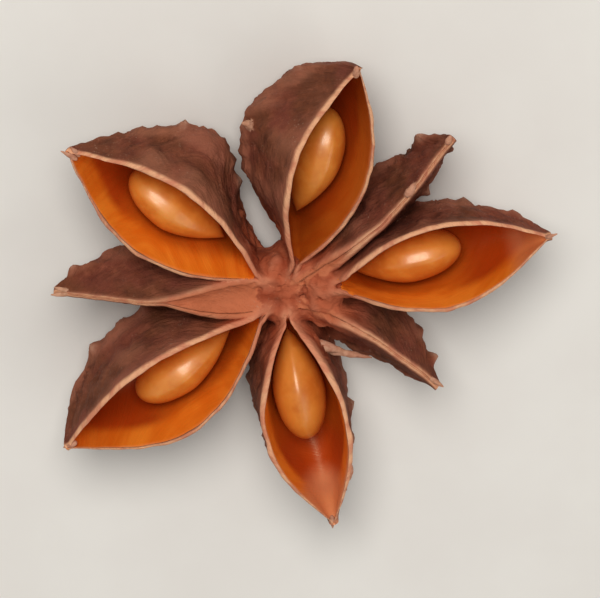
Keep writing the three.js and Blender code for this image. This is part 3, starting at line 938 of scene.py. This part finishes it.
def tidy_seams(mesh):
    """Merges the slivers that joining leaves where shapes meet round the hub."""
    grid = bmesh.new()
    grid.from_mesh(mesh)
    near = [v for v in grid.verts if hypot(v.co.x, v.co.y) < SEAM_REACH]
    bmesh.ops.remove_doubles(grid, verts=near, dist=SEAM_SIZE)
    bmesh.ops.dissolve_degenerate(grid, edges=grid.edges[:], dist=SLIVER_SIZE)
    mend(grid)
    crumbs = [vertex for island in islands(grid)[1:] for vertex in island]
    bmesh.ops.delete(grid, geom=crumbs, context="VERTS")
    grid.to_mesh(mesh)
    grid.free()


def melt_weight(points):
    """How far each point belongs to the fused middle, 1 at the hub's axis."""
    distance = np.hypot(points[:, 0], points[:, 1])
    turn = np.arctan2(points[:, 1], points[:, 0]) - radians(MELT_BULGE["azimuth"])
    turn = np.abs(np.arctan2(np.sin(turn), np.cos(turn)))
    reach = 1 + MELT_BULGE["size"] * bell(turn, 0, radians(MELT_BULGE["spread"]))
    return (1 - ease(distance / reach, *MELT_REACH)) * ease(points[:, 2], *MELT_HEIGHT)


def melt_hub(mesh):
    """Runs the inner ends of the carpels and the hub together into one lumpy mass."""
    points = vertex_array(mesh)
    weight = melt_weight(points)
    points = smoothed(points, mesh, MELT_ROUNDS, MELT_SHARE * weight[:, None])
    move_vertices(mesh, points)
    relief = MELT_RELIEF * (lumps(dent_noise, MELT_DENTS, points)
                            + lumps(grain_noise, MELT_GRAIN, points))
    pits = ease(crest_noise.at(points, MELT_PITS["size"]), *MELT_PITS["edge"])
    relief -= MELT_PITS["depth"] * pits
    move_vertices(mesh, points + (relief * weight)[:, None] * vertex_normals(mesh))


def blend_facts(mesh, facts):
    """Softens the borders between the facts of neighbouring shapes in the fused middle."""
    names = ["lip", "pink", "crest"]
    weight = melt_weight(vertex_array(mesh))[:, None]
    values = np.stack([facts[name] for name in names], axis=-1)
    facts.update(zip(names, smoothed(values, mesh, BLEND_ROUNDS, weight).T))


def hollowness(mesh):
    """How far each vertex lies below its surroundings, mm, negative where it stands out; the husk's
    painted shade and painted light follow it.
    """
    points = vertex_array(mesh)
    around = smoothed(points, mesh, HOLLOW_ROUNDS, HOLLOW_SHARE)
    hollow = ((around - points) * vertex_normals(mesh)).sum(axis=1)[:, None]
    hollow = hollow.clip(-HOLLOW_LIMIT, HOLLOW_LIMIT)
    for _ in range(HOLLOW_SOFTENING):
        hollow = spread_out(hollow, mesh)
    return hollow[:, 0]


def settle(points):
    """Eases points that would sink into the floor up to just above it."""
    low, height = FLOOR_MARGIN, points[:, 2]
    points[:, 2] = np.where(height < low, low * np.exp((height - low) / low), height)
    return points


def into_frame(piece, origin):
    """Moves a mesh from millimetres round the hub to metres in the CAD frame."""
    mesh = piece.data
    move_vertices(mesh, settle(vertex_array(mesh) + origin) * MM)
    mesh.polygons.foreach_set("use_smooth", np.ones(len(mesh.polygons), bool))
    mesh.set_sharp_from_angle(angle=radians(SHARP_ANGLE))
    mesh.update()


# ==== Materials


def colour(red, green, blue):
    """A colour as seen on screen, 0 to 255, as the linear colour that shaders take."""
    def linear(value):
        value /= 255
        return value / 12.92 if value <= 0.04045 else ((value + 0.055) / 1.055) ** 2.4
    return (*map(linear, (red, green, blue)), 1)


class Finish:
    """A procedural material, with one short call for each kind of node."""

    def __init__(self, name, **constants):
        self.material = bpy.data.materials.new(name)
        self.material.use_nodes = True
        self.tree = self.material.node_tree
        self.surface = self.tree.nodes["Principled BSDF"]
        for socket, value in constants.items():
            self.surface.inputs[socket.replace("_", " ")].default_value = value

    def node(self, kind, inputs, output=0, **settings):
        node = self.tree.nodes.new("ShaderNode" + kind)
        for name, value in settings.items():
            setattr(node, name, value)
        for key, value in inputs.items():
            self.feed(node.inputs[key], value)
        return node.outputs[output]

    def feed(self, socket, value):
        if isinstance(value, bpy.types.NodeSocket):
            self.tree.links.new(value, socket)
        else:
            socket.default_value = value

    def fact(self, name):
        return self.node("Attribute", {}, output="Fac", attribute_name=name)

    def place(self):
        """The point on the piece, in millimetres."""
        point = self.node("TexCoord", {}, output="Object")
        return self.node("VectorMath", {0: point, "Scale": 1 / MM}, operation="SCALE")

    def strip(self):
        """The point in millimetres along and round its carpel."""
        return self.node("CombineXYZ", {axis: self.fact("strip_" + axis.lower()) for axis in "XYZ"})

    def stretch(self, vector, *factors):
        return self.node("VectorMath", {0: vector, 1: factors}, operation="MULTIPLY")

    def noise(self, vector, size, detail=3, roughness=0.55, distortion=0.0):
        return self.node("TexNoise", {
            "Vector": vector, "Scale": 1 / size, "Detail": detail,
            "Roughness": roughness, "Distortion": distortion})

    def calm(self, value, share):
        """A value between 0 and 1 drawn to its middle where `share` is 1."""
        return self.node("Mix", {0: share, 2: value, 3: 0.5}, data_type="FLOAT")

    def times(self, a, b):
        return self.node("Math", {0: a, 1: b}, operation="MULTIPLY")

    def ease(self, value, low, high, start=0.0, end=1.0):
        """A smooth change from `start` to `end` as a value goes from `low` to `high`."""
        limits = {"From Min": low, "From Max": high, "To Min": start, "To Max": end}
        return self.node("MapRange", {"Value": value, **limits}, interpolation_type="SMOOTHSTEP")

    def paint(self, base, *coats):
        """Covers a colour with others in turn, each after its share, as colours on screen."""
        for share, coat in [(None, base), *coats]:
            coat = colour(*coat) if isinstance(coat, tuple) else coat
            base = coat if share is None else self.node(
                "Mix", {0: share, 6: base, 7: coat}, output=2, data_type="RGBA")
        return base

    def bump(self, height, depth, normal=None):
        """Bump from a height between 0 and 1 that stands for `depth` mm."""
        inputs = {"Height": height, "Distance": depth * MM, "Strength": 1.0}
        if normal:
            inputs["Normal"] = normal
        return self.node("Bump", inputs)

    def end(self, base, roughness, normal):
        for socket, value in (("Base Color", base), ("Roughness", roughness), ("Normal", normal)):
            self.feed(self.surface.inputs[socket], value)
        return self.material


def husk_finish():
    """Dry, wrinkled outside: mauve brown with olive patches, pinkish at the hub, pale lips, painted
    shade in hollows, and paler raised places, partly bloom and partly painted light.
    """
    f = Finish("husk", IOR=1.45, Specular_IOR_Level=0.2)
    place, strip, hollow, pink = f.place(), f.strip(), f.fact("hollow"), f.fact("pink")
    patches = f.ease(f.noise(place, 3.2, detail=2), 0.38, 0.62)
    tint = f.ease(f.noise(place, 1.3, detail=4), 0.35, 0.7)
    veins = f.noise(f.stretch(strip, 0.45, 1.6, 1), 0.55, detail=5, roughness=0.6, distortion=0.4)
    veins = f.calm(veins, f.fact("border"))
    mottle = f.noise(place, 0.9, detail=5, roughness=0.65)
    crumbs = f.ease(f.noise(place, 0.4, detail=4), 0.35, 0.6, start=0.35)
    grain = f.noise(place, 0.16, detail=3)
    scurf = f.times(f.ease(grain, 0.6, 0.72), f.ease(f.noise(place, 1.9), 0.5, 0.65))
    middle = f.paint((180, 92, 60), (f.ease(f.noise(place, 1.6), 0.4, 0.62), (152, 66, 38)))
    lip = f.paint((240, 180, 138),
                  (f.ease(f.noise(strip, 1.4), 0.4, 0.65), (214, 138, 106)),
                  (f.times(pink, 0.7), (206, 122, 90)))
    base = f.paint(
        (116, 58, 43),
        (patches, (98, 53, 33)),
        (f.times(tint, 0.4), (134, 74, 48)),
        (f.ease(veins, 0.5, 0.75, end=0.4), (146, 86, 66)),
        (f.ease(mottle, 0.5, 0.68, end=0.5), (78, 38, 25)),
        (f.ease(mottle, 0.46, 0.3, end=0.35), (154, 88, 64)),
        (f.times(pink, 0.92), middle),
        (f.times(f.fact("trough"), 0.5), (206, 122, 82)),
        (f.times(f.ease(f.fact("crest"), 0.3, 0.85, end=0.8), crumbs), (198, 158, 134)),
        # Painted shade: darker down in hollows and creases. Paler where the surface stands out:
        # partly the dry bloom on ridges, partly painted light.
        (f.ease(hollow, 0.01, 0.15, end=0.6), (60, 24, 14)),
        (f.ease(hollow, -0.015, -0.10, end=0.3), (186, 120, 92)),
        (f.times(scurf, 0.45), (176, 140, 116)),
        (f.times(f.fact("lip"), 0.85), lip))
    roughness = f.ease(veins, 0.3, 0.7, 0.66, 0.86)
    return f.end(base, roughness, f.bump(grain, 0.045, f.bump(veins, 0.16)))


def lining_finish():
    """Smooth, glossy orange inside of the open carpels, with painted shade: deeper red past the
    seed, towards the beak, deep in the cavity, round each seed and over one shaded carpel.
    """
    f = Finish("lining", IOR=1.5, Specular_IOR_Level=0.6, Specular_Tint=(1, 0.8, 0.5, 1),
               Coat_Weight=0.06, Coat_Roughness=0.28)
    strip, from_lip, along = f.strip(), f.fact("from_lip"), f.fact("along")
    fibres = f.noise(f.stretch(strip, 0.12, 1.4, 1), 0.35, detail=4, roughness=0.6)
    fibres = f.calm(fibres, f.fact("border"))
    # Painted shade on the lining deep down past the seed.
    painted_shade_past_seed = f.times(f.ease(from_lip, 1.9, 3.4), f.ease(along, 0.55, 0.72))
    base = f.paint(
        (244, 138, 38),
        (f.ease(f.noise(strip, 2.6, detail=2), 0.35, 0.65), (230, 116, 24)),
        (f.ease(fibres, 0.45, 0.75, end=0.12), (248, 158, 62)),
        # Painted shade: deeper red past the seed, towards the beak and deep in the cavity away from
        # the lips.
        (f.times(painted_shade_past_seed, 0.85), (168, 50, 10)),
        (f.ease(along, 0.75, 0.97, end=0.5), (190, 76, 18)),
        (f.ease(from_lip, 2.6, 5.0, end=0.55), (170, 62, 12)),
        # Painted shadow on the lining round each seed.
        (f.times(f.fact("near_seed"), 0.6), (158, 56, 10)),
        # Painted shade over the whole lining of a shaded carpel.
        (f.fact("dark_lining"), (150, 52, 10)),
        (f.fact("pale_tip"), (216, 142, 98)),
        (f.times(f.fact("lip"), 0.85), (228, 152, 108)))
    return f.end(base, f.ease(fibres, 0.3, 0.7, 0.3, 0.46), f.bump(fibres, 0.03))


def seed_finish():
    """Hard, polished caramel seed, duller where it was attached."""
    f = Finish("seed", IOR=1.54, Specular_IOR_Level=0.9, Specular_Tint=(1, 0.84, 0.62, 1),
               Coat_Weight=0.35, Coat_Roughness=0.16,
               Subsurface_Weight=0.12, Subsurface_Scale=0.6 * MM)
    place = f.place()
    mottle = f.noise(place, 0.5, detail=3)
    base = f.paint(
        (220, 138, 52),
        (f.ease(f.noise(place, 2.2, detail=3), 0.36, 0.64), (202, 114, 36)),
        (f.ease(mottle, 0.5, 0.75, end=0.3), (226, 156, 74)),
        (f.ease(f.fact("along"), 0.0, 0.1, start=0.7, end=0.0), (166, 98, 46)))
    return f.end(base, f.ease(mottle, 0.3, 0.7, 0.36, 0.44), f.bump(mottle, 0.006))


def floor_finish():
    f = Finish("pale_floor", Specular_IOR_Level=0.2)
    speckle = f.noise(f.place(), 12.0, detail=4)
    base = f.paint((226, 223, 218), (f.ease(speckle, 0.3, 0.7), (230, 228, 223)))
    return f.end(base, 0.9, f.bump(speckle, 0.02))


# ==== The pod

HUB_ORIGIN = hub_place()


def solids(shapes):
    return [mesh_object("part", *shape[:2]) for shape in shapes]


def build_husk():
    surfaces = [carpel_surface(carpel, i) for i, carpel in enumerate(CARPELS)]
    carpels = [round_beak(points, facts) for points, facts, _ in surfaces]
    rooms = [tube(room, room[0].mean(axis=0), room[-1].mean(axis=0))
             for _, _, room in surfaces if room is not None]
    hub = hub_shape()
    strips = [spike_shape(*strip) for strip in STRIPS]
    knuckles = [knuckle_shape(*knuckle) for knuckle in KNUCKLES]
    nubs = [nub_shape(*nub) for nub in NUBS]

    shells = solids(carpels)
    for index, shell in enumerate(shells):
        own = [nub for nub, (owner, *_) in zip(nubs, NUBS) if owner == index]
        combine(shell, "UNION", solids(own))
    shut = [shell for shell, carpel in zip(shells, CARPELS) if "gape" not in carpel]
    opened = [shell for shell in shells if shell not in shut]
    husk = mesh_object("husk", *hub[:2])
    combine(husk, "UNION", solids([*knuckles, *strips]))
    combine(husk, "UNION", shut)
    combine(husk, "DIFFERENCE", solids(rooms))
    combine(husk, "UNION", opened)

    tidy_seams(husk.data)
    facts = nearest_facts(husk.data, [hub, *knuckles, *strips, *carpels, *nubs])
    melt_hub(husk.data)
    blend_facts(husk.data, facts)
    # How hollow each place is, for the husk's painted shade and light, less so in troughs.
    facts["hollow"] = hollowness(husk.data) * (1 - HOLLOW_LOSS_IN_TROUGH * facts["trough"])
    give_facts(husk.data, facts)
    husk.data.materials.clear()
    for material in (husk_finish(), lining_finish()):
        husk.data.materials.append(material)
    for face in husk.data.polygons:
        face.material_index = int(facts["lining"][list(face.vertices)].mean() > LINED_SHARE)
    into_frame(husk, HUB_ORIGIN)
    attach(husk, "root")
    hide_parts("pod")


def build_seeds():
    material = seed_finish()
    for i, carpel in enumerate(c for c in CARPELS if "seed" in c):
        vertices, faces, facts = seed_shape(carpel, i)
        seed = mesh_object(f"glossy_seed_{i + 1}", vertices, faces)
        give_facts(seed.data, facts)
        seed.data.materials.append(material)
        into_frame(seed, HUB_ORIGIN)
        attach(seed, "root")
        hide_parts(f"seed_{i + 1}")


# ==== Floor, light and camera, metres

FLOOR_SIZE = 1.2
CAMERA_TILT = 20.0  # degrees from straight above, towards +Y
CAMERA_DISTANCE = 0.5
FRAME_WIDTH = 0.0405  # width of the picture at the pod
FRAME_CENTRE = (1.09, -0.3)  # from the top of the hub, right and up in the picture, mm
SENSOR_WIDTH = 36.0
CLIPPING = (0.01, 10)

LIGHTS = dict(
    key=dict(direction=(-0.06, 0.48, 0.87), distance=0.5, size=0.26, power=1.65,
             tint=(1, 0.97, 0.93)),
    fill=dict(direction=(0.75, -0.35, 0.7), distance=0.7, size=0.6, power=0.75,
              tint=(1, 0.98, 0.95)),
)
BACKDROP = dict(Color=(1, 0.98, 0.95, 1), Strength=0.35)


def build_floor():
    half = FLOOR_SIZE / 2
    corners = [(-half, -half, 0), (half, -half, 0), (half, half, 0), (-half, half, 0)]
    floor = mesh_object("floor", corners, [(0, 1, 2, 3)])
    floor.data.materials.append(floor_finish())


def facing(direction, up):
    """Rotation whose -Z looks against `direction`, with `up` upwards in its picture."""
    back = np.array(direction) / np.linalg.norm(direction)
    right = np.cross(up, back)
    right /= np.linalg.norm(right)
    return Matrix(np.array([right, np.cross(back, right), back]).T.tolist()).to_4x4()


def build_camera():
    tilt = radians(CAMERA_TILT)
    back = np.array([0, sin(tilt), cos(tilt)])
    up = np.array([0, cos(tilt), -sin(tilt)])
    rightwards, upwards = FRAME_CENTRE
    target = (HUB_ORIGIN + [rightwards, 0, HUB_RIM_HEIGHT] + upwards * up) * MM
    lens = bpy.data.cameras.new("camera")
    lens.sensor_width = SENSOR_WIDTH
    lens.lens = SENSOR_WIDTH * CAMERA_DISTANCE / FRAME_WIDTH
    lens.clip_start, lens.clip_end = CLIPPING
    camera = add_object("camera", lens)
    camera.matrix_world = Matrix.Translation(target + back * CAMERA_DISTANCE) @ facing(back, up)
    bpy.context.scene.camera = camera


def soft_light(name, direction, distance, size, power, tint):
    lamp = bpy.data.lights.new(name, "AREA")
    lamp.shape, lamp.size, lamp.energy, lamp.color = "DISK", size, power, tint
    direction = np.array(direction) / np.linalg.norm(direction)
    matrix = Matrix.Translation(direction * distance) @ facing(direction, (0, 1, 0))
    add_object(name, lamp).matrix_world = matrix


def build_lights():
    for name, light in LIGHTS.items():
        soft_light(name, **light)
    world = bpy.data.worlds.new("studio")
    world.use_nodes = True
    for socket, value in BACKDROP.items():
        world.node_tree.nodes["Background"].inputs[socket].default_value = value
    bpy.context.scene.world = world
    bpy.context.scene.view_settings.view_transform = "Standard"


build_camera()
build_husk()
build_seeds()
build_floor()
build_lights()

bpy.context.view_layer.update()
